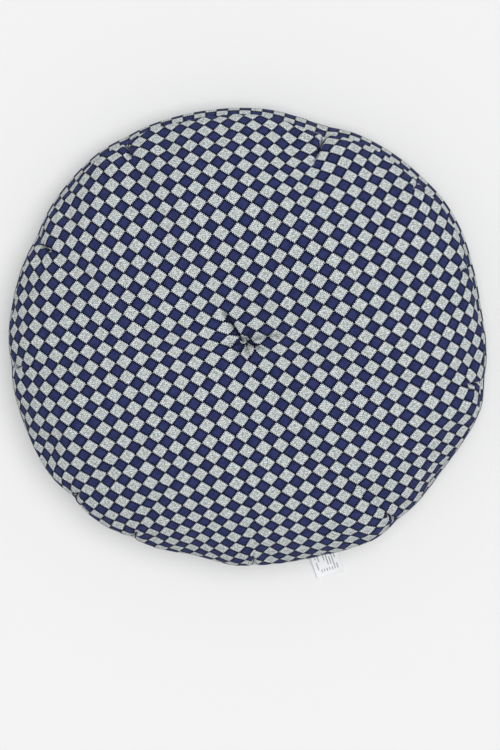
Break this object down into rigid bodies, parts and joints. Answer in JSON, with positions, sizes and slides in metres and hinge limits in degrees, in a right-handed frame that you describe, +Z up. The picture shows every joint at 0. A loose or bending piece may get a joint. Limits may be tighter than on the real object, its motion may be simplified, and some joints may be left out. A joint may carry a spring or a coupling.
{
  "type": "seat cushion",
  "caption": "Round boxed seat cushion in checked cloth, padded, tufted once through the middle, with a care label sewn into its lower seam.",
  "frame": {"origin": "on the surface that the cushion lies on, at the middle of its round base", "axes": "+Z up through the cushion's thickness, +Y towards the side opposite the care label, +X to the right seen from above with +Y away"},
  "size_m": [0.4, 0.4174, 0.094],
  "materials": {
    "checked_cloth": "matte",
    "wadding": "matte",
    "foam": "matte",
    "seam_thread": "matte",
    "pale_thread": "matte",
    "label_ribbon": "satin"
  },
  "bodies": {
    "cushion": {"top_panel": "checked_cloth", "side_band": "checked_cloth", "bottom_panel": "checked_cloth", "upper_wadding": "wadding", "foam_core": "foam", "lower_wadding": "wadding", "upper_seam_thread": "seam_thread", "lower_seam_thread": "seam_thread", "closing_stitch": "pale_thread", "band_joint_thread": "seam_thread", "tuft_thread": "pale_thread"},
    "label": {"care_label": "label_ribbon"}
  },
  "joints": [
    {"name": "label_swing", "type": "hinge", "parent": "cushion", "child": "label", "pos_m": [0.05828, -0.17621, 0.0085], "axis": [-0.9494, -0.314, 0], "range_deg": [-75, 50]}
  ]
}
